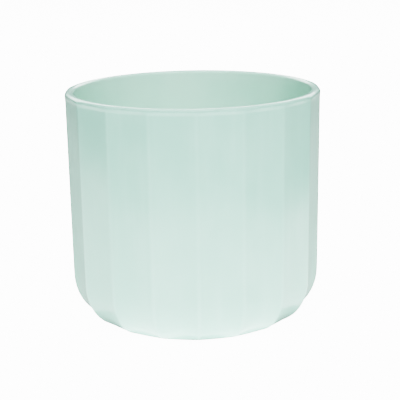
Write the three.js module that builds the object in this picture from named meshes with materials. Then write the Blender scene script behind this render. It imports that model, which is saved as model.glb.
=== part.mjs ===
// Brush holder pot: one slip-cast ceramic cup with a round lip, eighteen upright
// panels that meet at soft ridges, a large rounded bottom corner and a foot ring.
//
// Units are millimetres and +Z is up. The origin is the centre of the foot's resting
// plane. One ridge stands exactly at the front, on the -Y side.

import * as THREE from 'three';
import { mergeVertices } from 'three/addons/utils/BufferGeometryUtils.js';

// Overall sizes.
const rimDiameter = 120;
const height = 109;

// Wall, floor and lip.
const wallThickness = 4.4;
const floorThickness = 3.8;
const lipRise = 1.3;

// Outside of the body. The wall leans in a little from the lip to the bottom corner.
const ridgeInsetAtTop = 0.2;
const ridgeInsetAtBottom = 0.6;
const cornerWidth = 17.5;
const cornerHeight = 22.3;

// Panels. A scoop is how far a panel's middle lies inside the ridges beside it.
const panelCount = 18;
const wallScoop = 0.9;
const cornerScoop = 1.4;
const scoopBlendHeight = 22;
const lipFadeHeight = 2;
const scoopStartsAtTurn = 0.14;
const scoopFullAtTurn = 0.36;

// Foot ring, the only part that touches the table.
const footRingWidth = 5;
const footRecessDepth = 1.2;

// How finely the round surfaces are stepped.
const stepsPerPanel = 4;
const cornerSteps = 11;
const lipSteps = 8;
const insideCornerSteps = 7;

// Sizes that follow from the ones above.
const rimRadius = rimDiameter / 2;
const lipHalfWidth = wallThickness / 2;
const lipCentreHeight = height - lipRise;
const insideRadius = rimRadius - wallThickness;
const floorHeight = footRecessDepth + floorThickness;
const bottomRidgeRadius = rimRadius - ridgeInsetAtBottom;
const topRidgeRadius = rimRadius - ridgeInsetAtTop;
const footOuterRadius = bottomRidgeRadius - cornerWidth;
const footInnerRadius = footOuterRadius - footRingWidth;
const insideCornerWidth = insideRadius - footOuterRadius;
const insideCornerHeight = cornerHeight - floorHeight;
const wallTopHeight = lipCentreHeight - lipFadeHeight;

const glaze = new THREE.MeshStandardMaterial({ color: 0xcfe2db, roughness: 0.35, metalness: 0 });

function smoothStep(from, to, value) {
  const t = Math.min(Math.max((value - from) / (to - from), 0), 1);
  return t * t * (3 - 2 * t);
}

// A profile point holds its radius and height, the outward direction there, and how
// deep the panels are scooped at that place.
function plainPoint(radius, z) {
  return { radius, z, outward: [0, 0], scoop: 0 };
}

// Underside: flat recess, then the foot ring's flat face.
function footProfile() {
  return [
    plainPoint(0, footRecessDepth),
    plainPoint(footInnerRadius - footRecessDepth, footRecessDepth),
    plainPoint(footInnerRadius, 0),
  ];
}

// Quarter ellipse from the foot ring's outer edge up to the wall. The scoops start
// part of the way round, so the foot's own outline stays a plain circle.
function cornerProfile() {
  const points = [];
  for (let step = 0; step <= cornerSteps; step += 1) {
    const turn = step / cornerSteps;
    const angle = (turn * Math.PI) / 2;
    const radius = footOuterRadius + cornerWidth * Math.sin(angle);
    const z = cornerHeight * (1 - Math.cos(angle));
    const slope = [Math.sin(angle) / cornerWidth, -Math.cos(angle) / cornerHeight];
    const length = Math.hypot(slope[0], slope[1]);
    const outward = [slope[0] / length, slope[1] / length];
    const scoop = cornerScoop * smoothStep(scoopStartsAtTurn, scoopFullAtTurn, turn);
    points.push({ radius, z, outward, scoop });
  }
  return points;
}

// Straight wall above the corner, where the scoops ease to their depth on the wall.
function wallProfile() {
  const points = [];
  const lean = (topRidgeRadius - bottomRidgeRadius) / (wallTopHeight - cornerHeight);
  const blendTop = cornerHeight + scoopBlendHeight;
  for (const z of [cornerHeight + scoopBlendHeight / 2, blendTop, wallTopHeight]) {
    const radius = bottomRidgeRadius + lean * (z - cornerHeight);
    const blend = smoothStep(cornerHeight, blendTop, z);
    const scoop = cornerScoop + (wallScoop - cornerScoop) * blend;
    points.push({ radius, z, outward: [1, 0], scoop });
  }
  return points;
}

// Low rounded lip, half an ellipse. The scoops fade to nothing between the wall and the
// lip's widest line.
function lipProfile() {
  const halfway = wallTopHeight + lipFadeHeight / 2;
  const halfwayRadius = (topRidgeRadius + rimRadius) / 2;
  const points = [{ radius: halfwayRadius, z: halfway, outward: [1, 0], scoop: wallScoop / 2 }];
  for (let step = 0; step <= lipSteps; step += 1) {
    const angle = (step / lipSteps) * Math.PI;
    const radius = rimRadius - lipHalfWidth + lipHalfWidth * Math.cos(angle);
    points.push(plainPoint(radius, lipCentreHeight + lipRise * Math.sin(angle)));
  }
  return points;
}

// Inside: plain round wall, a quarter ellipse that follows the outside corner at about
// the wall's thickness, and a flat floor to the axis.
function insideProfile() {
  const points = [];
  for (let step = 0; step <= insideCornerSteps; step += 1) {
    const angle = ((step / insideCornerSteps) * Math.PI) / 2;
    const radius = footOuterRadius + insideCornerWidth * Math.cos(angle);
    const z = cornerHeight - insideCornerHeight * Math.sin(angle);
    points.push(plainPoint(radius, z));
  }
  points.push(plainPoint(0, floorHeight));
  return points;
}

// Depth of a panel's surface across its width: none at the ridges, all of it midway.
function scoopShape(azimuth) {
  const across = (azimuth * panelCount) / (2 * Math.PI);
  const fromMiddle = 2 * (across - Math.floor(across)) - 1;
  return 1 - fromMiddle * fromMiddle;
}

function potGeometry() {
  const profile = [
    ...footProfile(),
    ...cornerProfile(),
    ...wallProfile(),
    ...lipProfile(),
    ...insideProfile(),
  ];
  const outline = profile.map((point) => new THREE.Vector2(point.radius, point.z));
  const lathe = new THREE.LatheGeometry(outline, panelCount * stepsPerPanel);
  const position = lathe.getAttribute('position');
  for (let index = 0; index < position.count; index += 1) {
    const point = profile[index % profile.length];
    const step = Math.floor(index / profile.length);
    const azimuth = (step / (panelCount * stepsPerPanel)) * 2 * Math.PI;
    const depth = point.scoop * scoopShape(azimuth);
    const radius = point.radius - depth * point.outward[0];
    const z = point.z - depth * point.outward[1];
    position.setXYZ(index, radius * Math.sin(azimuth), z, radius * Math.cos(azimuth));
  }
  lathe.deleteAttribute('normal');
  lathe.deleteAttribute('uv');
  const closed = mergeVertices(lathe, 0.0001);
  closed.rotateX(Math.PI / 2);
  closed.computeVertexNormals();
  return closed;
}

const pot = new THREE.Mesh(potGeometry(), glaze);
pot.name = 'pot_body';

const model = new THREE.Group();
model.add(pot);

export default model;
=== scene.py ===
import math

import bpy
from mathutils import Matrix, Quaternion, Vector


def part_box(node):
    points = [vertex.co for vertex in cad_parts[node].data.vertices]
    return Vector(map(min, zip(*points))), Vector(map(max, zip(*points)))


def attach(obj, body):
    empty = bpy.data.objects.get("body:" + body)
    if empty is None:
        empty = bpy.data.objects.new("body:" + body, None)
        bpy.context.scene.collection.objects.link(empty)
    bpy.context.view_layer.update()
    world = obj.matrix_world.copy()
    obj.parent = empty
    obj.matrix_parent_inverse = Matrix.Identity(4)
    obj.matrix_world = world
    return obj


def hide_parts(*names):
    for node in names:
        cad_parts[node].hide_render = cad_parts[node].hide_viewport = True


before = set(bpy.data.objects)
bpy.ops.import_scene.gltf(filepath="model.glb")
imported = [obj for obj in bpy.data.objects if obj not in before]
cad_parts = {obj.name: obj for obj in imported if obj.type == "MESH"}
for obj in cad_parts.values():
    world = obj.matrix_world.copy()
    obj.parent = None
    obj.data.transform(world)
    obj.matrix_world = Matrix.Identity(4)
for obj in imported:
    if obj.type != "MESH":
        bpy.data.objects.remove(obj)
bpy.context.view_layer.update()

# ---------------------------------------------------------------------------
# Pot body. One slip-cast stoneware cup, fired with its glaze: a flat recess and
# a foot ring underneath, a wide rounded corner, a wall of eighteen shallow
# panels that run out over a low rounded lip, and a plain inside.
# ---------------------------------------------------------------------------
rim_radius, _, pot_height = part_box("pot_body")[1]

wall_thickness = 0.0044
foot_recess = 0.0012
floor_level = 0.0050
recess_ring = 0.030
floor_rings = (0.036, 0.028)
corner_width = 0.0175
corner_height = 0.0223
ridge_radius_low = rim_radius - 0.0006
ridge_radius_high = rim_radius - 0.0002
foot_outer = ridge_radius_low - corner_width
foot_inner = foot_outer - 0.0050
inside_radius = rim_radius - wall_thickness
lip_half_width = wall_thickness / 2
lip_rise = 0.0013
lip_centre = pot_height - lip_rise
under_lip = 0.0020
wall_top = lip_centre - under_lip

panel_count = 18
columns_per_panel = 6
corner_scoop = 0.0014
wall_scoop = 0.0009
shoulder_scoop = 0.6 * wall_scoop
ridge_softness = 0.0010
same_level = 1e-6


def smooth_step(low, high, value):
    """0 up to the low value and 1 from the high one, with a smooth change between."""
    t = min(max((value - low) / (high - low), 0.0), 1.0)
    return t * t * (3.0 - 2.0 * t)


def draw_ring(radius, z, scoop=0.0, inside=0.0):
    """Extrudes the selected ring to a new radius and height, and notes the panels' depth there."""
    global ring_radius, ring_z
    rise = (0.0, 0.0, z - ring_z)
    bpy.ops.mesh.extrude_edges_move(TRANSFORM_OT_translate={"value": rise})
    grow = radius / ring_radius
    bpy.ops.transform.resize(value=(grow, grow, 1.0), center_override=(0.0, 0.0, 0.0))
    for group, weight in ((scoops, scoop / corner_scoop), (insides, inside)):
        pot.vertex_groups.active_index = group.index
        bpy.context.tool_settings.vertex_group_weight = weight
        bpy.ops.object.vertex_group_assign()
    ring_radius, ring_z = radius, z


# The outline is drawn on from a ring inside the underside's recess.
bpy.ops.object.select_all(action="DESELECT")
ring_radius, ring_z = recess_ring, foot_recess
bpy.ops.mesh.primitive_circle_add(
    vertices=panel_count * columns_per_panel,
    radius=ring_radius,
    location=(0.0, 0.0, ring_z),
)
pot = bpy.context.object
pot.name = "pot_shell"
bpy.ops.object.transform_apply(location=True, rotation=True, scale=True)
scoops = pot.vertex_groups.new(name="scoops")
insides = pot.vertex_groups.new(name="insides")
bpy.ops.object.mode_set(mode="EDIT")
bpy.ops.mesh.select_mode(type="EDGE")
bpy.ops.mesh.select_all(action="SELECT")

# Recess wall and foot ring, whose edges are eased.
for radius, z in (
    (foot_inner - 0.0016, foot_recess),
    (foot_inner - 0.0008, foot_recess - 0.0002),
    (foot_inner - 0.0002, 0.0004),
    (foot_inner + 0.0002, 0.0001),
    (foot_inner + 0.0007, 0.0),
    (foot_outer - 0.0010, 0.0),
):
    draw_ring(radius, z)

# Rounded bottom corner. The panels fade out before the foot, so the foot stays round.
corner_steps = 16
fade_start, fade_end = 0.14, 0.36
for step in range(corner_steps + 1):
    turn = step / corner_steps
    angle = turn * math.pi / 2
    radius = foot_outer + corner_width * math.sin(angle)
    z = corner_height * (1.0 - math.cos(angle))
    draw_ring(radius, z, corner_scoop * smooth_step(fade_start, fade_end, turn))

# Wall, where the panels grow a little shallower upwards.
blend_height = 0.022
wall_steps = 12
for step in range(1, wall_steps + 1):
    up = step / wall_steps
    z = corner_height + (wall_top - corner_height) * up
    radius = ridge_radius_low + (ridge_radius_high - ridge_radius_low) * up
    blend = smooth_step(corner_height, corner_height + blend_height, z)
    draw_ring(radius, z, corner_scoop + (wall_scoop - corner_scoop) * blend)

# The panels grow shallower just below the lip.
for part in (0.25, 0.5, 0.75):
    z = wall_top + (lip_centre - wall_top) * part
    radius = ridge_radius_high + (rim_radius - ridge_radius_high) * part
    scoop = wall_scoop + (shoulder_scoop - wall_scoop) * smooth_step(0.0, 1.0, part)
    draw_ring(radius, z, scoop)

# Low rounded lip. The panels run out over its shoulder, and the inside begins at its top.
lip_steps = 10
shoulder_end, lip_top = 0.45, 0.5
for step in range(lip_steps + 1):
    angle = math.pi * step / lip_steps
    radius = rim_radius - lip_half_width + lip_half_width * math.cos(angle)
    z = lip_centre + lip_rise * math.sin(angle)
    over = step / lip_steps
    scoop = shoulder_scoop * (1.0 - smooth_step(0.0, shoulder_end, over))
    draw_ring(radius, z, scoop, smooth_step(lip_top, 1.0, over))

# Inside wall, inside corner and floor.
inside_steps = 6
for step in range(1, inside_steps):
    z = lip_centre + (corner_height - lip_centre) * step / inside_steps
    draw_ring(inside_radius, z, inside=1.0)
inside_corner_steps = 12
for step in range(inside_corner_steps + 1):
    angle = math.pi / 2 * step / inside_corner_steps
    radius = foot_outer + (inside_radius - foot_outer) * math.cos(angle)
    z = corner_height - (corner_height - floor_level) * math.sin(angle)
    draw_ring(radius, z, inside=1.0)
for radius in floor_rings:
    draw_ring(radius, floor_level, inside=1.0)

# Each ridge gets a narrow band of faces, which keeps it crisp when the surface is rounded.
# An edge is on a ridge if both its ends are, and if it runs up the pot, not round it.
bpy.ops.mesh.select_all(action="DESELECT")
bpy.ops.object.mode_set(mode="OBJECT")
panel_angle = 2.0 * math.pi / panel_count


def across_panel(point):
    """Place across the panel, from -1 at one ridge to 1 at the next. A ridge stands at the front."""
    turns = math.atan2(point.x, -point.y) / panel_angle
    return 2.0 * (turns - math.floor(turns)) - 1.0


def on_ridge(point):
    return abs(abs(across_panel(point)) - 1.0) < 0.01


for edge in pot.data.edges:
    start, end = (pot.data.vertices[index].co for index in edge.vertices)
    round_the_pot = Vector((start.y, -start.x, 0.0)).normalized()
    along = abs((start - end).normalized().dot(round_the_pot))
    edge.select = on_ridge(start) and on_ridge(end) and along < 0.5
bpy.ops.object.mode_set(mode="EDIT")
bpy.ops.mesh.bevel(offset=ridge_softness, segments=2, affect="EDGES", clamp_overlap=False)
bpy.ops.mesh.select_all(action="DESELECT")
bpy.ops.object.mode_set(mode="OBJECT")

# The middle of the recess and of the floor are closed with an even grid of faces.
edges_around = panel_count * (columns_per_panel + 2)
for level in (foot_recess, floor_level):
    for edge in pot.data.edges:
        ends = [pot.data.vertices[index].co for index in edge.vertices]
        edge.select = all(
            abs(end.z - level) < same_level and end.xy.length < recess_ring + 0.0001
            for end in ends
        )
    bpy.ops.object.mode_set(mode="EDIT")
    bpy.ops.mesh.fill_grid(span=edges_around // 4, use_interp_simple=True)
    bpy.ops.mesh.select_all(action="DESELECT")
    bpy.ops.object.mode_set(mode="OBJECT")
bpy.ops.object.mode_set(mode="EDIT")
bpy.ops.mesh.select_all(action="SELECT")
bpy.ops.mesh.normals_make_consistent(inside=False)
bpy.ops.object.mode_set(mode="OBJECT")

# The glaze finds the panels and the inside by these two fields. Then the panels are
# pressed in between the ridges, most along their middles.
panelled = pot.data.attributes.new("panelled", "FLOAT", "POINT")
inside_face = pot.data.attributes.new("inside_face", "FLOAT", "POINT")
for vertex in pot.data.vertices:
    if abs(vertex.co.z - floor_level) < same_level:
        inside_face.data[vertex.index].value = 1.0
    across = across_panel(vertex.co)
    for held in vertex.groups:
        if held.group == insides.index:
            inside_face.data[vertex.index].value = held.weight
        else:
            panelled.data[vertex.index].value = held.weight
            held.weight *= 1.0 - across * across
press = pot.modifiers.new("press_panels", "DISPLACE")
press.direction = "NORMAL"
press.vertex_group = "scoops"
press.mid_level = 0.0
press.strength = -corner_scoop
rounding = pot.modifiers.new("rounding", "SUBSURF")
rounding.levels = 1
rounding.render_levels = 1
for name in ("press_panels", "rounding"):
    bpy.ops.object.modifier_apply(modifier=name)
bpy.ops.object.shade_smooth()
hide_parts("pot_body")
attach(pot, "root")

# Mint glaze: glossy, thin and pale along the ridges, a little uneven in tone. The top of the lip
# is paler, partly thin glaze and partly a painted highlight, and the inside is a paler copy of the
# mint, which is painted light. The standing ring is wiped clean, so the pale clay shows there.
mint = (0.450, 0.722, 0.615, 1.0)
mint_deep = (0.400, 0.672, 0.565, 1.0)
mint_thin = (0.59, 0.87, 0.77, 1.0)
# The inside's paler mint is painted light: a lighter copy of the glaze for the light inside the cup.
mint_inside_painted_light = (0.642, 0.87, 0.767, 1.0)
clay = (0.66, 0.59, 0.49, 1.0)
clay_speck = (0.36, 0.28, 0.21, 1.0)
cloud_strength = 0.50
inside_cloud_strength = 0.20
run_strength = 0.12
dot_strength = 0.22
ridge_thinness = 0.22
# The lip's paleness is partly thin glaze and partly a painted highlight.
lip_thin_glaze_and_highlight = 0.45
glaze_roughness = 0.135
roughness_drift = 0.07
ridge_dulling = 0.06
clay_roughness = 0.85
wave_height = 0.00004

glaze = bpy.data.materials.new("mint_glaze")
glaze.use_nodes = True
nodes, links = glaze.node_tree.nodes, glaze.node_tree.links
surface = nodes["Principled BSDF"]


def feed(socket, value):
    """Links a node's output to the input, or sets the input to a plain value."""
    if isinstance(value, bpy.types.NodeSocket):
        links.new(value, socket)
    else:
        socket.default_value = value


def calculate(operation, first, second=0.0):
    """Works out one sum of two values, which may be outputs or plain numbers."""
    node = nodes.new("ShaderNodeMath")
    node.operation = operation
    feed(node.inputs[0], first)
    feed(node.inputs[1], second)
    return node.outputs["Value"]


def soft_step(value, low, high):
    """0 up to the low value and 1 from the high one, with a smooth change between."""
    node = nodes.new("ShaderNodeMapRange")
    node.interpolation_type = "SMOOTHSTEP"
    feed(node.inputs["Value"], value)
    node.inputs["From Min"].default_value = low
    node.inputs["From Max"].default_value = high
    return node.outputs["Result"]


def mottle(per_metre, detail, squash=1.0):
    """Noise with so many spots to the metre. Squash draws it out up the wall."""
    stretch = nodes.new("ShaderNodeMapping")
    stretch.inputs["Scale"].default_value = (1.0, 1.0, squash)
    links.new(place.outputs["Object"], stretch.inputs["Vector"])
    node = nodes.new("ShaderNodeTexNoise")
    node.inputs["Scale"].default_value = per_metre
    node.inputs["Detail"].default_value = detail
    links.new(stretch.outputs["Vector"], node.inputs["Vector"])
    return node.outputs["Fac"]


def tint(amount, first, second):
    """Goes from the first colour to the second by an amount from 0 to 1."""
    node = nodes.new("ShaderNodeMix")
    node.data_type = "RGBA"
    feed(node.inputs["Factor"], amount)
    feed(node.inputs["A"], first)
    feed(node.inputs["B"], second)
    return node.outputs["Result"]


def field(name):
    """One of the fields that the pot's mesh holds."""
    node = nodes.new("ShaderNodeAttribute")
    node.attribute_name = name
    return node.outputs["Fac"]


place = nodes.new("ShaderNodeTexCoord")
axes = nodes.new("ShaderNodeSeparateXYZ")
links.new(place.outputs["Object"], axes.inputs["Vector"])

# The thin glaze: a narrow, slightly unsteady line on each ridge. The pale top of the lip is partly
# thin glaze and partly a painted highlight.
toward_front = calculate("MULTIPLY", axes.outputs["Y"], -1.0)
turned = calculate("ARCTAN2", axes.outputs["X"], toward_front)
turns = calculate("MULTIPLY", turned, 1.0 / panel_angle)
from_ridge = calculate("PINGPONG", turns, 0.5)
fine = mottle(420.0, 3.0)
drift = calculate("ADD", from_ridge, calculate("MULTIPLY", fine, 0.03))
ridge = calculate("MULTIPLY", soft_step(drift, 0.085, 0.02), field("panelled"))
top_of_lip = soft_step(axes.outputs["Z"], pot_height - 0.0014, pot_height - 0.0004)

# Tone: broad soft clouds, faint runs down the wall and fine dots, then a paler inside, which is
# painted light, then the thin glaze, with a painted highlight on the lip.
clouds = soft_step(mottle(38.0, 3.0), 0.35, 0.65)
runs = soft_step(mottle(160.0, 2.0, 0.12), 0.45, 0.75)
dots = soft_step(mottle(1500.0, 2.0), 0.62, 0.70)
colour = tint(calculate("MULTIPLY", clouds, cloud_strength), mint, mint_deep)
colour = tint(calculate("MULTIPLY", runs, run_strength), colour, mint_thin)
colour = tint(calculate("MULTIPLY", dots, dot_strength), colour, mint_deep)
inside_clouds = calculate("MULTIPLY", clouds, inside_cloud_strength)
# Painted light: the inside takes a paler copy of the mint, for the light that falls and bounces
# inside the cup.
colour = tint(field("inside_face"), colour, tint(inside_clouds, mint_inside_painted_light, mint))
thin_ridge = calculate("MULTIPLY", ridge, ridge_thinness)
# Painted highlight: the pale band on the top of the lip is partly thin glaze and partly a painted
# highlight line.
lip_pale_and_highlight = calculate("MULTIPLY", top_of_lip, lip_thin_glaze_and_highlight)
thin = calculate("MAXIMUM", thin_ridge, lip_pale_and_highlight)
colour = tint(thin, colour, mint_thin)

# Bare clay on the standing ring, up to an uneven glaze line.
unsteady = calculate("MULTIPLY", mottle(260.0, 2.0), -0.0004)
glaze_line = calculate("ADD", axes.outputs["Z"], unsteady)
bare = soft_step(glaze_line, 0.00022, 0.00008)
grain = mottle(2600.0, 4.0)
clay_colour = tint(soft_step(grain, 0.60, 0.68), clay, clay_speck)
links.new(tint(bare, colour, clay_colour), surface.inputs["Base Color"])

# Gloss: a little duller where the glaze is thin, and matt on the clay.
drifting = calculate("MULTIPLY", mottle(70.0, 3.0), roughness_drift)
dull = calculate("ADD", drifting, glaze_roughness)
dull = calculate("ADD", dull, calculate("MULTIPLY", ridge, ridge_dulling))
glaze_or_clay = nodes.new("ShaderNodeMix")
links.new(bare, glaze_or_clay.inputs["Factor"])
links.new(dull, glaze_or_clay.inputs["A"])
glaze_or_clay.inputs["B"].default_value = clay_roughness
links.new(glaze_or_clay.outputs["Result"], surface.inputs["Roughness"])

# Relief: the faint waviness of a glaze, and the grit of the bare clay.
small_waves = calculate("MULTIPLY", fine, 0.25)
wide_waves = calculate("MULTIPLY", mottle(110.0, 2.0), 0.75)
grit = calculate("MULTIPLY", calculate("MULTIPLY", grain, bare), 2.5)
relief = calculate("ADD", calculate("ADD", small_waves, wide_waves), grit)
wavy = nodes.new("ShaderNodeBump")
wavy.inputs["Strength"].default_value = 1.0
wavy.inputs["Distance"].default_value = wave_height
links.new(relief, wavy.inputs["Height"])
links.new(wavy.outputs["Normal"], surface.inputs["Normal"])
pot.data.materials.append(glaze)

# ---------------------------------------------------------------------------
# Studio: a plain white floor that glows like a light table but lights nothing. Flat
# sheets of light just under it, in front of the pot and at its sides, light the pot
# and are mirrored in the glaze, and aren't seen themselves.
# ---------------------------------------------------------------------------
white = (1.0, 1.0, 1.0, 1.0)
floor_width = 12.0
floor_glow = 6.0


def glowing_paper(name, paleness, glow):
    """Matt paper with an even glow of its own."""
    paper = bpy.data.materials.new(name)
    paper.use_nodes = True
    sheet = paper.node_tree.nodes["Principled BSDF"]
    sheet.inputs["Base Color"].default_value = (paleness, paleness, paleness, 1.0)
    sheet.inputs["Roughness"].default_value = 0.9
    sheet.inputs["Specular IOR Level"].default_value = 0.1
    sheet.inputs["Emission Color"].default_value = white
    sheet.inputs["Emission Strength"].default_value = glow
    return paper


bpy.ops.object.select_all(action="DESELECT")
bpy.ops.mesh.primitive_plane_add(size=floor_width, location=(0.0, 0.0, 0.0))
floor = bpy.context.object
floor.name = "studio_floor"
floor_paper = glowing_paper("studio_floor", 0.85, floor_glow)
floor.data.materials.append(floor_paper)

# The floor is clear from below, so that the foot can be looked at.
nodes, links = floor_paper.node_tree.nodes, floor_paper.node_tree.links
side = nodes.new("ShaderNodeNewGeometry")
clear = nodes.new("ShaderNodeBsdfTransparent")
one_way = nodes.new("ShaderNodeMixShader")
links.new(side.outputs["Backfacing"], one_way.inputs["Fac"])
links.new(nodes["Principled BSDF"].outputs["BSDF"], one_way.inputs[1])
links.new(clear.outputs["BSDF"], one_way.inputs[2])
links.new(one_way.outputs["Shader"], nodes["Material Output"].inputs["Surface"])
floor.visible_diffuse = floor.visible_glossy = floor.visible_shadow = False


def light_sheet(name, corners, glow, paleness=0.8, depth=0.0002):
    """A flat sheet of light just under the floor, which only the pot sees."""
    mesh = bpy.data.meshes.new(name)
    points = [(x, y, -depth) for x, y in corners]
    mesh.from_pydata(points, [], [tuple(range(len(corners)))])
    sheet = bpy.data.objects.new(name, mesh)
    bpy.context.collection.objects.link(sheet)
    mesh.materials.append(glowing_paper(name, paleness, glow))
    sheet.visible_camera = sheet.visible_shadow = False


light_sheet(
    "front_sheet",
    (
        (-0.036, -0.036), (-0.19, -0.19), (-0.13, -0.26), (0.13, -0.26),
        (0.19, -0.19), (0.036, -0.036), (0.0, -0.051),
    ),
    1.45,
)
light_sheet(
    "right_sheet",
    ((0.05, -0.05), (0.19, -0.19), (0.25, -0.07), (0.25, 0.11), (0.075, 0.005), (0.056, -0.02)),
    1.25,
)
light_sheet(
    "left_sheet",
    (
        (-0.05, -0.05), (-0.056, -0.02), (-0.075, 0.005),
        (-0.36, 0.18), (-0.36, -0.07), (-0.19, -0.19),
    ),
    1.05,
)

# A dim, greyer sheet lies under all of them and runs on behind the pot.
light_sheet(
    "low_sheet",
    ((-0.25, -0.05), (0.25, -0.05), (0.7, 1.6), (-0.7, 1.6)),
    0.30,
    paleness=0.3,
    depth=0.0004,
)

# A bright backdrop behind the pot, which shows only as the line of light along the lip.
backdrop_width, backdrop_height = 3.0, 0.8
backdrop_middle = (0.0, 1.5, 0.95)
backdrop_glow = 3.0
bpy.ops.object.select_all(action="DESELECT")
bpy.ops.mesh.primitive_plane_add(size=1.0, location=(0.0, 0.0, 0.0))
backdrop = bpy.context.object
backdrop.name = "lip_backdrop"
bpy.ops.object.mode_set(mode="EDIT")
bpy.ops.mesh.select_all(action="SELECT")
bpy.ops.transform.resize(value=(backdrop_width, backdrop_height, 1.0))
bpy.ops.transform.rotate(value=math.pi / 2, orient_axis="X", center_override=(0.0, 0.0, 0.0))
bpy.ops.transform.translate(value=backdrop_middle)
bpy.ops.object.mode_set(mode="OBJECT")
backdrop.data.materials.append(glowing_paper("lip_backdrop", 0.8, backdrop_glow))
backdrop.visible_camera = backdrop.visible_diffuse = backdrop.visible_shadow = False

# The room is dim. Only the camera sees it white, beyond the floor's far edge.
room_dim, room_bright = 0.05, 6.5
world = bpy.data.worlds.new("studio")
bpy.context.scene.world = world
world.use_nodes = True
room = world.node_tree.nodes["Background"]
room.inputs["Color"].default_value = white
seen = world.node_tree.nodes.new("ShaderNodeLightPath")
room_glow = world.node_tree.nodes.new("ShaderNodeMix")
world.node_tree.links.new(seen.outputs["Is Camera Ray"], room_glow.inputs["Factor"])
room_glow.inputs["A"].default_value = room_dim
room_glow.inputs["B"].default_value = room_bright
world.node_tree.links.new(room_glow.outputs["Result"], room.inputs["Strength"])


def soft_light(name, place, target, size, power, mirrored=True):
    """A soft box that faces its target. Where it isn't mirrored, the glaze doesn't show it."""
    lamp = bpy.data.lights.new(name, "AREA")
    lamp.shape = "RECTANGLE"
    lamp.size, lamp.size_y = size
    lamp.energy = power
    holder = bpy.data.objects.new(name, lamp)
    bpy.context.collection.objects.link(holder)
    holder.visible_glossy = mirrored
    holder.location = place
    toward = Vector(target) - Vector(place)
    holder.rotation_euler = toward.to_track_quat("-Z", "Y").to_euler()


pot_middle = Vector((0.0, 0.0, pot_height / 2))
soft_light("front_box", (0.1, -1.0, 1.1), pot_middle, (0.9, 0.7), 18.6, mirrored=False)
soft_light("top_box", (0.0, 0.0, 1.3), pot_middle, (0.9, 0.9), 4.0)
soft_light("back_fill", (0.0, 1.3, 0.9), pot_middle, (1.2, 0.9), 13.0, mirrored=False)
soft_light("under_fill", (0.0, -0.2, -1.2), pot_middle, (0.9, 0.9), 3.0, mirrored=False)

bpy.context.scene.view_settings.view_transform = "Filmic"
bpy.context.scene.view_settings.look = "Very High Contrast"

# Camera at eye level for a seated person, a little off to the left of the front ridge.
camera_distance = 0.5257
camera_elevation = math.radians(14.81)
camera_azimuth = math.radians(-1.29)
camera_roll = math.radians(0.947)
aim_right, aim_up = 0.00275, -0.00024
lens = bpy.data.cameras.new("camera")
lens.sensor_width = 36.0
lens.lens = 98.2
lens.clip_start = 0.01
camera = bpy.data.objects.new("camera", lens)
bpy.context.collection.objects.link(camera)
away = Vector((
    math.sin(camera_azimuth) * math.cos(camera_elevation),
    -math.cos(camera_azimuth) * math.cos(camera_elevation),
    math.sin(camera_elevation),
))
camera.location = pot_middle + away * camera_distance
sight = (-away).to_track_quat("-Z", "Y")
aim = pot_middle + sight @ Vector((aim_right, aim_up, 0.0))
sight = (aim - camera.location).to_track_quat("-Z", "Y")
camera.rotation_mode = "QUATERNION"
camera.rotation_quaternion = sight @ Quaternion((0.0, 0.0, 1.0), -camera_roll)
bpy.context.scene.camera = camera
